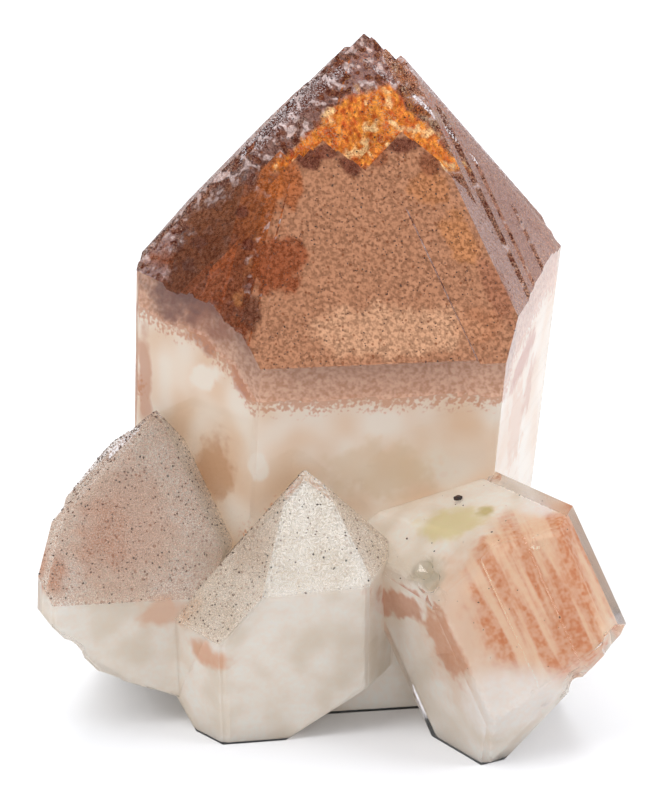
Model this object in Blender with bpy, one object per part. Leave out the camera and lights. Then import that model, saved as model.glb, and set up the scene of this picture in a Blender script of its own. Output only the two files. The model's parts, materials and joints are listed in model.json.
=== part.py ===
"""Group of quartz crystals grown together: one large stepped crystal with three small ones at its foot.

Metres, +Z up, front towards -Y. The origin is on the ground, under the middle of the group.

Every crystal is cut from a block by flat planes, because the faces of quartz keep fixed angles.
A crystal has its own frame: Z is its long axis, and face 0 of its six sides looks to -Y. The tip
is built up in growth steps. Each step is a six-sided cap, and its size is given by six heights:
where the plane of each cap face would meet the long axis. Caps that overlap leave the ledges,
ridges and side peaks of a crystal that grew as many parallel ones.
"""
import math
import random

import bmesh
import bpy
from mathutils import Matrix, Vector

MM = 0.001

# Angle between a cap face's outward direction and the crystal's cross-section.
CAP_ANGLE = math.radians(38.2)

# Positions are measured from a point near the large crystal; this puts the origin under the
# middle of the group.
GROUP = Matrix.Translation(Vector((0.0, 1.6, 0.0)) * MM)

# The feet of all axes lie this high above the ground.
FOOT_HEIGHT = 1.0

# Blocks to be cut to shape: half their width, and how far they reach down and up. No two blocks
# that are joined share a plane, so each growth step's block is a little larger than the last.
STEP_BLOCK = (45.0, -30.0, 110.0)
STEP_BLOCK_GROWTH = (0.7, -0.3, 1.0)
PRISM_BLOCK = (60.0, -20.0, 100.0)
SLAB_BLOCK = (60.0, -40.0, 60.0)
SLAB_BLOCK_GROWTH = (1.0, -1.0, 1.0)
ENVELOPE_BLOCK = (70.0, -5.0, 60.0)
GROUND_BLOCK = (80.0, 0.0, 120.0)
LUMP_BLOCK = (9.0, -3.0, 14.0)
LUMP_MIDDLE = (6.0, -8.0, 0.0)

# The large crystal: where its axis has its foot, and how it stands.
MAIN_FOOT = (-1.5, 8.2)
MAIN_YAW, MAIN_LEAN, MAIN_ROLL = 14.6, 4.1, 3.8
# Distance of its six sides from the axis at the shoulder, front first and then round to the right.
MAIN_SIDES = (17.3, 21.4, 26.1, 17.3, 21.4, 20.8)
MAIN_SHOULDER = 46.0
# How far each side leans in towards the foot, in degrees.
MAIN_TAPER = (0.6, 1.0, 3.5, 2.0, 2.0, 1.6)

# How much the heights of the small peaks in a flight vary: the face ahead, and the other two.
UNEVEN_AHEAD = 0.25
UNEVEN_SIDES = 0.6
FLIGHT_SEED = 7

# The crystal at the left, in parallel with the large one.
LEFT_FOOT = (-21.9, -6.9)
LEFT_SIDES = (10.8, 9.5, 6.2, 10.8, 8.4, 17.0)
LEFT_SHOULDER = 16.0

# The white crystal in front.
CENTRE_FOOT = (-4.8, -12.6)
CENTRE_YAW, CENTRE_LEAN, CENTRE_ROLL = 10.0, 6.0, -1.0
CENTRE_SIDES = (8.8, 11.3, 10.2, 9.5, 11.3, 12.4)
CENTRE_SHOULDER = 18.6

# The broken crystal at the right leans left and away.
RIGHT_FOOT = (26.8, -21.5)
RIGHT_YAW, RIGHT_LEAN, RIGHT_ROLL = 6.0, -20.0, -26.0
RIGHT_SIDES = (10.0, 12.6, 6.5, 12.0, 13.5, 12.0)
# Its front side rises in ledges; each ends this far from the axis on the right.
RIGHT_LEDGES = (12.6, 9.1, 4.7)
RIGHT_LEDGE_HEIGHT = 0.35


# Frames and planes

def crystal_frame(foot, yaw, lean, roll):
    """A frame whose Z is the crystal's long axis, with its origin at the foot."""
    place = Matrix.Translation(Vector((foot[0], foot[1], FOOT_HEIGHT)) * MM)
    turn = Matrix.Rotation(math.radians(roll), 4, "Y")
    turn = turn @ Matrix.Rotation(math.radians(lean), 4, "X")
    turn = turn @ Matrix.Rotation(math.radians(yaw), 4, "Z")
    return GROUP @ place @ turn


def side_direction(face):
    """Outward direction of one of the six sides, in the crystal's frame."""
    angle = math.radians(60.0 * face)
    return Vector((math.sin(angle), -math.cos(angle), 0.0))


def cap_direction(face):
    """Outward direction of the cap face above a side, in the crystal's frame."""
    out = side_direction(face) * math.cos(CAP_ANGLE)
    out.z = math.sin(CAP_ANGLE)
    return out


def cut(body, frame, point, direction):
    """Cut away what lies on the outer side of a plane, and close the cut with one flat face."""
    spot = frame @ (Vector(point) * MM)
    normal = frame.to_3x3() @ Vector(direction)
    geometry = body.verts[:] + body.edges[:] + body.faces[:]
    made = bmesh.ops.bisect_plane(
        body, geom=geometry, plane_co=spot, plane_no=normal, clear_outer=True, dist=1e-7)
    rim = [item for item in made["geom_cut"] if isinstance(item, bmesh.types.BMEdge)]
    if rim:
        bmesh.ops.edgeloop_fill(body, edges=rim)


def block(frame, reach, growth=(0.0, 0.0, 0.0), number=0):
    """A plain block around a crystal's axis, to be cut to shape."""
    half_width, bottom, top = (start + more * number for start, more in zip(reach, growth))
    body = bmesh.new()
    size = Vector((2 * half_width, 2 * half_width, top - bottom)) * MM
    middle = Vector((0.0, 0.0, (top + bottom) / 2)) * MM
    bmesh.ops.create_cube(body, size=1.0)
    bmesh.ops.scale(body, vec=size, verts=body.verts)
    bmesh.ops.translate(body, vec=middle, verts=body.verts)
    bmesh.ops.transform(body, matrix=frame, verts=body.verts)
    return body


# Objects

def place_object(name, body, group=None):
    """Turn a cut body into an object, in the scene or in a group of helpers."""
    bmesh.ops.recalc_face_normals(body, faces=body.faces)
    mesh = bpy.data.meshes.new(name)
    body.to_mesh(mesh)
    body.free()
    item = bpy.data.objects.new(name, mesh)
    (group or bpy.context.scene.collection).objects.link(item)
    return item


def helper_group(name):
    group = bpy.data.collections.new(name)
    bpy.context.scene.collection.children.link(group)
    return group


def as_helper(item):
    """Helpers shape other objects and are not part of the model."""
    item.hide_render = True
    item.display_type = "WIRE"


def combine(item, operation, other):
    """Join to, cut with or keep what is inside another object or a group of them."""
    step = item.modifiers.new(operation.lower(), "BOOLEAN")
    step.operation = operation
    step.solver = "EXACT"
    if isinstance(other, bpy.types.Collection):
        step.operand_type = "COLLECTION"
        step.collection = other
    else:
        step.object = other


class Crystal:
    """One crystal: a tapering six-sided prism that ends where its growth steps do."""

    def __init__(self, name, frame):
        self.name = name
        self.frame = frame
        self.steps = 0
        self.host = None
        self.group = helper_group(name + "_steps")
        self.chance = random.Random(FLIGHT_SEED)

    def step(self, front, right_front, right_back, back, left_back, left_front):
        """Add one growth step, by the heights of its six cap faces."""
        self.steps += 1
        body = block(self.frame, STEP_BLOCK, STEP_BLOCK_GROWTH, self.steps)
        heights = (front, right_front, right_back, back, left_back, left_front)
        for face, height in enumerate(heights):
            cut(body, self.frame, (0.0, 0.0, height), cap_direction(face))
        name = self.name + "_step_" + str(self.steps)
        if self.host is None:
            self.host = place_object(name, body)
            as_helper(self.host)
        else:
            as_helper(place_object(name, body, self.group))

    def peak(self, face, ahead, right, left, trims):
        """Add a small peak whose point is where three alternate cap faces meet, by their heights.

        The three faces between them are higher than the point by the trims, so they cut its
        edges lower down: the one to the right, the one behind and the one to the left.
        """
        top = (ahead + right + left) / 3
        heights = [0.0] * 6
        heights[face] = ahead
        heights[(face + 2) % 6] = right
        heights[(face + 4) % 6] = left
        heights[(face + 1) % 6] = 2 * top - left + trims[0]
        heights[(face + 3) % 6] = 2 * top - ahead + trims[1]
        heights[(face + 5) % 6] = 2 * top - right + trims[2]
        self.step(*heights)

    def flight(self, face, first, last, count, trims):
        """Add a row of small peaks that step down evenly from the first to the last, but for chance."""
        for number in range(count):
            share = number / (count - 1)
            ahead, right, left = Vector(first).lerp(Vector(last), share)
            ahead += self.chance.uniform(-UNEVEN_AHEAD, UNEVEN_AHEAD)
            right += self.chance.uniform(-UNEVEN_SIDES, UNEVEN_SIDES)
            left += self.chance.uniform(-UNEVEN_SIDES, UNEVEN_SIDES)
            self.peak(face, ahead, right, left, trims)

    def prism(self, sides, shoulder, taper, breaks):
        """The body below the tip, closed by the growth steps above.

        Breaks are planes in the group's frame that cut off the foot: a point and a direction.
        """
        body = block(self.frame, PRISM_BLOCK)
        for face, distance in enumerate(sides):
            lean_in = math.radians(taper[face])
            direction = side_direction(face) * math.cos(lean_in)
            direction.z = -math.sin(lean_in)
            point = side_direction(face) * distance
            point.z = shoulder
            cut(body, self.frame, point, direction)
        for point, direction in breaks:
            cut(body, GROUP, point, direction)
        item = place_object(self.name, body)
        for other in self.group.objects:
            combine(self.host, "UNION", other)
        combine(item, "INTERSECT", self.host)
        return item


# The large crystal

def main_crystal():
    frame = crystal_frame(MAIN_FOOT, MAIN_YAW, MAIN_LEAN, MAIN_ROLL)
    crystal = Crystal("large_crystal", frame)
    # The tall peak at the back, and the lower ones that step down its right edge.
    crystal.step(59.7, 73.0, 81.0, 83.8, 74.6, 73.0)
    crystal.step(58.6, 70.0, 77.6, 82.0, 75.4, 72.2)
    crystal.step(57.6, 66.0, 67.0, 80.0, 75.9, 72.8)
    crystal.step(58.0, 73.8, 79.6, 84.5, 68.0, 64.0)
    crystal.step(56.2, 74.3, 77.2, 81.0, 58.0, 60.0)
    crystal.step(54.8, 73.6, 75.2, 79.0, 40.4, 54.0)
    crystal.step(52.2, 74.8, 75.6, 83.5, 34.0, 41.0)
    # Two peaks side by side in front, which share one wide face.
    crystal.step(63.7, 72.4, 69.1, 70.0, 57.3, 61.0)
    crystal.step(64.2, 65.5, 57.8, 66.0, 66.7, 69.6)
    # Small peaks that step down to the left shoulder.
    crystal.step(62.7, 68.3, 34.4, 60.0, 63.9, 70.3)
    crystal.step(61.0, 65.1, 39.1, 62.0, 69.4, 71.0)
    crystal.step(58.6, 60.2, 30.0, 58.0, 66.3, 71.8)
    crystal.step(55.5, 57.0, 20.7, 56.0, 63.5, 72.4)
    crystal.step(51.3, 66.7, 46.3, 78.0, 75.1, 73.6)
    crystal.step(56.5, 66.7, 47.4, 74.0, 75.8, 72.6)
    # Two peaks on the back, lower than the tall one.
    crystal.step(44.0, 52.0, 73.0, 85.6, 66.0, 40.0)
    crystal.step(40.0, 46.0, 66.0, 84.9, 71.0, 44.0)
    # Flights of small peaks down the left flank: along the rim, between, and beside the front face.
    crystal.flight(0, (62.3, 52.0, 70.8), (56.1, 20.0, 63.4), 8, (2.5, 2.0, 0.7))
    crystal.flight(0, (61.5, 42.7, 66.7), (60.0, 19.4, 60.3), 5, (2.5, 2.0, 1.0))
    crystal.flight(0, (63.4, 53.3, 68.5), (61.3, 18.3, 54.9), 9, (2.5, 2.0, 1.0))
    # Down the right edge, and beside the tip.
    crystal.flight(0, (59.0, 79.6, 62.2), (53.0, 72.4, 28.5), 6, (0.2, 3.0, 3.0))
    crystal.flight(0, (60.2, 81.6, 73.3), (59.2, 82.0, 66.5), 3, (0.3, 2.0, 2.0))
    # Scalloped tops of the two front peaks.
    crystal.flight(0, (64.0, 55.3, 67.3), (64.0, 52.5, 67.5), 2, (3.0, 2.0, 1.5))
    crystal.flight(0, (64.0, 58.7, 63.8), (64.0, 58.6, 60.2), 2, (3.0, 2.0, 2.0))
    crystal.flight(0, (63.5, 67.1, 58.1), (63.5, 64.6, 58.8), 2, (3.0, 2.0, 2.0))
    crystal.flight(0, (63.5, 69.4, 54.5), (63.5, 69.1, 50.5), 2, (2.0, 2.0, 3.0))
    # On the faces that look back.
    crystal.flight(4, (75.2, 56.0, 76.0), (75.4, 36.0, 56.0), 5, (2.0, 2.0, 2.0))
    crystal.flight(2, (81.3, 66.0, 52.0), (81.3, 44.0, 40.0), 4, (1.0, 2.0, 0.5))
    crystal.flight(3, (86.1, 52.0, 56.0), (86.3, 38.0, 44.0), 3, (1.0, 2.0, 1.0))
    breaks = (
        ((-2.0, 22.5, 4.0), (0.10, 0.75, -0.65)),
        ((17.0, 16.0, 3.5), (0.70, 0.30, -0.65)),
        ((-20.0, 12.0, 5.0), (-0.75, 0.20, -0.63)),
        ((10.0, 23.0, 8.0), (0.45, 0.80, -0.40)),
    )
    return crystal.prism(MAIN_SIDES, MAIN_SHOULDER, MAIN_TAPER, breaks)


# The small crystals

def left_crystal():
    frame = crystal_frame(LEFT_FOOT, MAIN_YAW, MAIN_LEAN, MAIN_ROLL)
    crystal = Crystal("left_crystal", frame)
    crystal.step(29.7, 32.1, 35.5, 39.9, 34.4, 41.0)
    # A thin plate behind it, with its rim standing out at the left.
    crystal.step(26.0, 28.0, 30.0, 44.0, 35.3, 36.0)
    # Its underside is broken and hangs clear of the ground.
    breaks = (
        ((-31.8, -21.9, 14.7), (-0.75, -0.15, -0.65)),
        ((-21.8, -18.4, 5.5), (-0.35, -0.20, -0.90)),
    )
    item = crystal.prism(LEFT_SIDES, LEFT_SHOULDER, (1.0,) * 6, breaks)
    as_helper(item)
    return item


def centre_crystal():
    frame = crystal_frame(CENTRE_FOOT, CENTRE_YAW, CENTRE_LEAN, CENTRE_ROLL)
    crystal = Crystal("centre_crystal", frame)
    crystal.step(29.8, 33.7, 32.0, 32.6, 26.9, 28.8)
    breaks = (
        ((0.0, -21.0, 3.5), (0.55, -0.25, -0.80)),
        ((-17.0, -14.0, 3.0), (-0.80, 0.10, -0.60)),
    )
    item = crystal.prism(CENTRE_SIDES, CENTRE_SHOULDER, (1.0, 2.0, 2.0, 1.0, 1.0, 1.0), breaks)
    as_helper(item)
    return item


def right_crystal():
    """Three slabs in parallel, which step up towards the left of the front side."""
    frame = crystal_frame(RIGHT_FOOT, RIGHT_YAW, RIGHT_LEAN, RIGHT_ROLL)
    slabs = helper_group("right_slabs")
    host = None
    for number, right_front in enumerate(RIGHT_LEDGES):
        front = RIGHT_SIDES[0] + RIGHT_LEDGE_HEIGHT * number
        inset = RIGHT_LEDGE_HEIGHT * number
        left_front = RIGHT_SIDES[5] - RIGHT_LEDGE_HEIGHT * (len(RIGHT_LEDGES) - 1 - number)
        sides = (front, right_front, RIGHT_SIDES[2] - inset, RIGHT_SIDES[3] - inset,
                 RIGHT_SIDES[4] - inset, left_front)
        body = block(frame, SLAB_BLOCK, SLAB_BLOCK_GROWTH, number)
        for face, distance in enumerate(sides):
            cut(body, frame, side_direction(face) * distance, side_direction(face))
        item = place_object("right_crystal_slab_" + str(number + 1), body, host and slabs)
        as_helper(item)
        host = host or item
    combine(host, "UNION", slabs)
    combine(host, "INTERSECT", right_envelope())
    return host


def right_envelope():
    """The breaks that end the right crystal at its top and at its lower right."""
    body = block(GROUP, ENVELOPE_BLOCK)
    # A flat top that is broken across, with its left corner split away.
    cut(body, GROUP, (21.0, -22.9, 25.4), (-0.22, -0.10, 0.97))
    cut(body, GROUP, (9.7, -22.1, 19.2), (-0.52, -0.42, 0.74))
    # Fractures that cut off the lower right end.
    cut(body, GROUP, (32.2, -27.1, 15.2), (0.72, -0.25, -0.62))
    cut(body, GROUP, (21.6, -29.3, 8.6), (0.45, -0.80, -0.38))
    item = place_object("right_envelope", body)
    as_helper(item)
    return item


def fill_lump():
    """Massive milky quartz that joins the feet of the crystals, between the two in front."""
    frame = GROUP @ Matrix.Translation(Vector(LUMP_MIDDLE) * MM)
    body = block(frame, LUMP_BLOCK)
    cut(body, GROUP, (6.0, -12.6, 2.0), (0.15, -0.97, 0.18))
    cut(body, GROUP, (6.0, -11.5, 8.0), (-0.10, -0.70, 0.70))
    cut(body, GROUP, (6.0, -7.0, 11.0), (0.20, -0.20, 0.96))
    item = place_object("fill_lump", body)
    as_helper(item)
    return item


def scoop(group, name, centre, size, turn):
    """A shell-shaped break: a faceted ball that will be cut out of the group."""
    body = bmesh.new()
    bmesh.ops.create_icosphere(body, subdivisions=2, radius=1.0)
    bmesh.ops.scale(body, vec=Vector(size) * MM, verts=body.verts)
    spin = Matrix.Rotation(math.radians(turn[2]), 4, "Z")
    spin = spin @ Matrix.Rotation(math.radians(turn[1]), 4, "Y")
    spin = spin @ Matrix.Rotation(math.radians(turn[0]), 4, "X")
    place = GROUP @ Matrix.Translation(Vector(centre) * MM)
    bmesh.ops.transform(body, matrix=place @ spin, verts=body.verts)
    as_helper(place_object(name, body, group))


def broken_places():
    """Scoops along the fractures of the small crystals, and the pit near the right one's top."""
    group = helper_group("breaks")
    scoop(group, "break_1", (34.6, -27.0, 12.0), (5.5, 6.0, 3.2), (10, 35, 20))
    scoop(group, "break_2", (29.2, -29.6, 8.2), (4.6, 5.0, 3.6), (0, 50, 10))
    scoop(group, "break_3", (25.0, -30.6, 4.2), (4.8, 4.5, 3.4), (20, 30, 0))
    scoop(group, "break_4", (29.5, -22.0, 5.0), (6.5, 6.0, 3.6), (5, 48, 30))
    scoop(group, "break_5", (20.5, -31.6, 1.2), (4.0, 3.6, 3.2), (0, 40, -20))
    scoop(group, "break_6", (-30.8, -19.8, 10.3), (3.4, 3.0, 2.6), (0, 35, 0))
    scoop(group, "break_7", (-26.2, -20.6, 4.6), (5.0, 4.0, 3.4), (0, 20, 10))
    scoop(group, "break_8", (-19.5, -19.8, 2.6), (3.6, 3.4, 3.0), (0, 10, 0))
    scoop(group, "break_9", (3.0, -23.4, 1.4), (4.2, 3.2, 3.0), (10, -35, 0))
    scoop(group, "pit", (22.8, -23.4, 24.9), (1.0, 0.9, 1.2), (15, 20, 35))
    scoop(group, "chip_1", (7.6, -18.0, 24.2), (3.0, 2.4, 1.8), (30, 20, -35))
    scoop(group, "chip_2", (9.6, -19.9, 20.9), (2.2, 1.6, 1.5), (30, 20, -35))
    scoop(group, "chip_3", (10.4, -22.6, 20.2), (1.8, 2.2, 1.4), (0, 25, -30))
    scoop(group, "chip_4", (11.3, -25.3, 19.2), (1.6, 1.8, 1.5), (20, 0, 10))
    return group


def ground_block():
    """Everything below this block's underside is cut away, so the group stands flat."""
    body = block(GROUP, GROUND_BLOCK)
    item = place_object("ground", body)
    as_helper(item)
    return item


def quartz_material():
    material = bpy.data.materials.new("quartz")
    material.use_nodes = True
    shader = material.node_tree.nodes["Principled BSDF"]
    shader.inputs["Base Color"].default_value = (0.72, 0.50, 0.37, 1.0)
    shader.inputs["Roughness"].default_value = 0.15
    shader.inputs["Metallic"].default_value = 0.0
    shader.inputs["IOR"].default_value = 1.544
    return material


def build():
    for item in list(bpy.data.objects):
        bpy.data.objects.remove(item, do_unlink=True)
    cluster = main_crystal()
    cluster.name = "quartz_cluster"
    combine(cluster, "UNION", left_crystal())
    combine(cluster, "UNION", centre_crystal())
    combine(cluster, "UNION", right_crystal())
    combine(cluster, "UNION", fill_lump())
    combine(cluster, "DIFFERENCE", broken_places())
    combine(cluster, "INTERSECT", ground_block())
    cluster.data.materials.append(quartz_material())


build()
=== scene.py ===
# %% [markdown]
# # A group of phantom quartz crystals
#
# This lesson dresses a solid model of a mineral specimen: one large stepped quartz crystal with
# three small ones at its foot. The solid has every flat face at its real place. What it lacks is
# what the eye sees inside and on quartz: clear skin, a dusted older crystal within (a phantom),
# milky hearts, stains of iron oxide and fine dark grains.
#
# The plan is the one nature followed. The outer shape becomes clear glassy quartz. Inside it sits
# the phantom, which is the same crystal at an earlier age, and dust lies on the faces that looked
# up while the crystal grew.

# %% Load the solid group
import json
import math
import random

import bpy
import numpy as np
from mathutils import Matrix, Vector, kdtree

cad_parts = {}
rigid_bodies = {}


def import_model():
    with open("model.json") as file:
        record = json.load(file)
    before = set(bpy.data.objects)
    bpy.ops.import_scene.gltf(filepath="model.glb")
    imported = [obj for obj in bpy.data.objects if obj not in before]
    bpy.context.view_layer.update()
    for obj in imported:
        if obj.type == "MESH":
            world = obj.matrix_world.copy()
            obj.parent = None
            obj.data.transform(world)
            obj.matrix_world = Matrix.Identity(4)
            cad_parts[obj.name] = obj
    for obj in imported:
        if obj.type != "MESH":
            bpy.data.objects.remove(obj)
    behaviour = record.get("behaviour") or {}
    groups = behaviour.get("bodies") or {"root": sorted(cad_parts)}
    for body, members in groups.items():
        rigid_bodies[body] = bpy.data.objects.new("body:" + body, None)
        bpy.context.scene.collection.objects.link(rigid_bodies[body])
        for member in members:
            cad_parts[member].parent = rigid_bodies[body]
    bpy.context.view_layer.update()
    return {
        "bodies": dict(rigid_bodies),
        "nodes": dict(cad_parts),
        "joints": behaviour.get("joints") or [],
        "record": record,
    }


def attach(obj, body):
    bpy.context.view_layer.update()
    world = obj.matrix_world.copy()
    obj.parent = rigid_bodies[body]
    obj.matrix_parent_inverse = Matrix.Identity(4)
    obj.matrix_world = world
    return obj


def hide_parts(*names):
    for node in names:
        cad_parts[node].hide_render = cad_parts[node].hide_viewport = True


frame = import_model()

MM = 0.001
group = frame["nodes"]["quartz_cluster"]

# %% [markdown]
# ## Helpers for working as by hand
#
# Blender's operators act on whatever is selected, so every step starts by selecting one object
# and nothing else. `cut_off` is the tool that shapes most crystals here: a flat plane takes away
# all that lies beyond it and closes the cut, which is how the faces of quartz bound it.

# %% Selecting, cutting and applying
def pick(item):
    if bpy.context.mode != "OBJECT":
        bpy.ops.object.mode_set(mode="OBJECT")
    bpy.ops.object.select_all(action="DESELECT")
    item.select_set(True)
    bpy.context.view_layer.objects.active = item


def start_editing(item):
    pick(item)
    bpy.ops.object.mode_set(mode="EDIT")
    bpy.ops.mesh.select_all(action="SELECT")


def stop_editing():
    bpy.ops.object.mode_set(mode="OBJECT")


def cut_off(point, direction):
    """In edit mode, take away all that lies beyond a plane and close the cut."""
    bpy.ops.mesh.select_all(action="SELECT")
    bpy.ops.mesh.bisect(plane_co=point, plane_no=direction, use_fill=True, clear_outer=True)


def apply_modifier(item, kind, **settings):
    pick(item)
    step = item.modifiers.new(kind.lower(), kind)
    for name, value in settings.items():
        setattr(step, name, value)
    bpy.ops.object.modifier_apply(modifier=step.name)


def copy_mesh(source, name):
    """A new object with its own copy of a shape, without materials."""
    item = bpy.data.objects.new(name, source.data.copy())
    bpy.context.scene.collection.objects.link(item)
    item.data.materials.clear()
    return item


def describe(item):
    print(item.name, "has", len(item.data.polygons), "faces")


# %% [markdown]
# ## The crystal's own directions
#
# Quartz keeps its angles whatever its size. Each crystal has a frame whose Z runs up its long
# axis. Six side faces look out from it every 60 degrees, and above each one a cap face leans in
# towards the axis by 38.2 degrees. With these two rules every plane needs one number only.

# %% Frames and face directions
CAP_ANGLE = math.radians(38.2)
GROUP_SHIFT = Vector((0.0, 1.6, 0.0))
FOOT_HEIGHT = 1.0


def crystal_frame(foot, yaw, lean, roll):
    """A crystal's own frame: its foot in millimetres, and how it is turned and leans."""
    place = Matrix.Translation((Vector((foot[0], foot[1], FOOT_HEIGHT)) + GROUP_SHIFT) * MM)
    turn = Matrix.Rotation(math.radians(roll), 4, "Y")
    turn = turn @ Matrix.Rotation(math.radians(lean), 4, "X")
    turn = turn @ Matrix.Rotation(math.radians(yaw), 4, "Z")
    return place @ turn


def side_direction(face):
    angle = math.radians(60.0 * face)
    return Vector((math.sin(angle), -math.cos(angle), 0.0))


def cap_direction(face):
    out = side_direction(face) * math.cos(CAP_ANGLE)
    out.z = math.sin(CAP_ANGLE)
    return out


MAIN = crystal_frame((-1.5, 8.2), 14.6, 4.1, 3.8)
LEFT = crystal_frame((-21.9, -6.9), 14.6, 4.1, 3.8)
CENTRE = crystal_frame((-4.8, -12.6), 10.0, 6.0, -1.0)
RIGHT = crystal_frame((26.8, -21.5), 6.0, -20.0, -26.0)
for name, crystal in (("large", MAIN), ("left", LEFT), ("centre", CENTRE), ("right", RIGHT)):
    print(name, "crystal points to", [round(value, 2) for value in crystal.col[2][:3]])

# %% [markdown]
# ## Camera
#
# A long lens half a metre away keeps the edges of the prism nearly parallel, as in a specimen
# portrait. The camera looks down a little, so the caps show as well as the sides.

# %% Camera
AIM = Vector((0.0, -14.4, 39.0)) * MM
CAMERA_DISTANCE = 0.5
CAMERA_HEIGHT_ANGLE = math.radians(20.0)
FOCAL_LENGTH = 202.5

away = Vector((0.0, -math.cos(CAMERA_HEIGHT_ANGLE), math.sin(CAMERA_HEIGHT_ANGLE)))
camera = bpy.data.objects.new("camera", bpy.data.cameras.new("camera"))
bpy.context.scene.collection.objects.link(camera)
camera.location = AIM + away * CAMERA_DISTANCE
camera.rotation_euler = away.to_track_quat("Z", "Y").to_euler()
camera.data.lens = FOCAL_LENGTH
camera.data.sensor_width = 36.0
camera.data.clip_start = 0.01
camera.data.clip_end = 20.0
bpy.context.scene.camera = camera
print("camera at", [round(v, 3) for v in camera.location])

# %% [markdown]
# ## Table and light
#
# The table is one pale plane. A bright, even sky does most of the lighting, because clear stone
# shows what surrounds it, and three large soft lamps give the faces their difference.

# %% Table, sky and lamps
TABLE_SIZE = 4.0
TABLE_COLOUR = (0.86, 0.88, 0.92, 1.0)
SKY_STRENGTH = 0.75

bpy.ops.object.select_all(action="DESELECT")
bpy.ops.mesh.primitive_plane_add(size=TABLE_SIZE, location=(0.0, 0.0, 0.0))
table = bpy.context.object
table.name = "table"
paper = bpy.data.materials.new("white table")
paper.use_nodes = True
paper.node_tree.nodes["Principled BSDF"].inputs["Base Color"].default_value = TABLE_COLOUR
paper.node_tree.nodes["Principled BSDF"].inputs["Roughness"].default_value = 0.6
table.data.materials.append(paper)

sky = bpy.data.worlds.new("soft sky")
sky.use_nodes = True
sky.node_tree.nodes["Background"].inputs["Color"].default_value = (0.98, 0.99, 1.0, 1.0)
sky.node_tree.nodes["Background"].inputs["Strength"].default_value = SKY_STRENGTH
bpy.context.scene.world = sky
bpy.context.scene.view_settings.view_transform = "Standard"


def soft_lamp(name, place, aim, size, power, colour=(1.0, 1.0, 1.0)):
    lamp = bpy.data.objects.new(name, bpy.data.lights.new(name, "AREA"))
    bpy.context.scene.collection.objects.link(lamp)
    lamp.location = place
    lamp.rotation_euler = (Vector(place) - Vector(aim)).to_track_quat("Z", "Y").to_euler()
    lamp.data.shape = "SQUARE"
    lamp.data.size = size
    lamp.data.energy = power
    lamp.data.color = colour
    return lamp


LOW_ON_STONE = (0.0, 0.0, 0.03)
HIGH_ON_STONE = (0.0, 0.0, 0.04)
soft_lamp("key lamp", (-0.45, -0.35, 0.75), LOW_ON_STONE, size=0.5, power=4.2, colour=(1.0, 0.98, 0.95))
soft_lamp("right lamp", (0.65, -0.15, 0.45), LOW_ON_STONE, size=0.4, power=2.5)
soft_lamp("back lamp", (0.05, 0.7, 0.6), HIGH_ON_STONE, size=0.5, power=3.0)

# %% [markdown]
# ## The clear skin
#
# The solid's faces are already the real ones, so the clear quartz is a copy of its mesh. The
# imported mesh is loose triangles, so doubles are merged first, and flat neighbours are dissolved
# into whole faces.

# %% Clear quartz shape
MERGE = 0.00001
FLAT_ANGLE = math.radians(0.3)

clear = copy_mesh(group, "clear_quartz")
start_editing(clear)
bpy.ops.mesh.remove_doubles(threshold=MERGE)
bpy.ops.mesh.dissolve_limited(angle_limit=FLAT_ANGLE)
stop_editing()
describe(clear)

# %% [markdown]
# ## The phantom
#
# The phantom is the large crystal as it was some years of growth earlier. Then its cap faces lay
# two to three and a half millimetres deeper, most in front, and its sides lay a little further
# in. So the piece is a copy of the clear shape, moved down the long axis and back, and cut by
# six planes just inside the sides. That also cuts away the small crystals. A
# voxel remesh then gives it even, slightly rounded faces, as a dusted surface has.

# %% Phantom cut from the clear shape
# How far each side of the large crystal lies from its axis at the shoulder's height, and by how
# many degrees it tapers.
MAIN_SIDES = (17.3, 21.4, 26.1, 17.3, 21.4, 20.8)
MAIN_SHOULDER = 46.0
MAIN_TAPER = (0.6, 1.0, 3.5, 2.0, 2.0, 1.6)
PHANTOM_DROP = 4.2
PHANTOM_BACK = 1.0
SKIN = 0.4
BASE_SKIN = 0.03
BASE_SPARE = 0.6

phantom = copy_mesh(clear, "phantom")
shift = MAIN.to_3x3() @ Vector((0.0, PHANTOM_BACK, -PHANTOM_DROP))
start_editing(phantom)
bpy.ops.transform.translate(value=shift * MM)
for face, distance in enumerate(MAIN_SIDES):
    lean = math.radians(MAIN_TAPER[face])
    direction = side_direction(face) * math.cos(lean)
    direction.z = -math.sin(lean)
    point = side_direction(face) * (distance - SKIN)
    point.z = MAIN_SHOULDER
    cut_off(MAIN @ (point * MM), MAIN.to_3x3() @ direction)
cut_off((0.0, 0.0, -BASE_SPARE * MM), (0.0, 0.0, -1.0))
stop_editing()
describe(phantom)


# %% Phantom remeshed and trimmed
def trim_foot(item):
    """The remesh rounds the foot, so the foot is made too long and cut flat afterwards."""
    start_editing(item)
    cut_off((0.0, 0.0, BASE_SKIN * MM), (0.0, 0.0, -1.0))
    stop_editing()


PHANTOM_VOXEL = 0.45
apply_modifier(phantom, "REMESH", mode="VOXEL", voxel_size=PHANTOM_VOXEL * MM)
trim_foot(phantom)
describe(phantom)

# %% [markdown]
# ## Milky hearts of the small crystals
#
# The small crystals are clear only in a thin skin as well, and cloudy white within. Each heart is
# a cube cut by the crystal's own planes, each moved inwards by the skin. The hearts are joined
# and remeshed together, which unites them where they meet.

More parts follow.
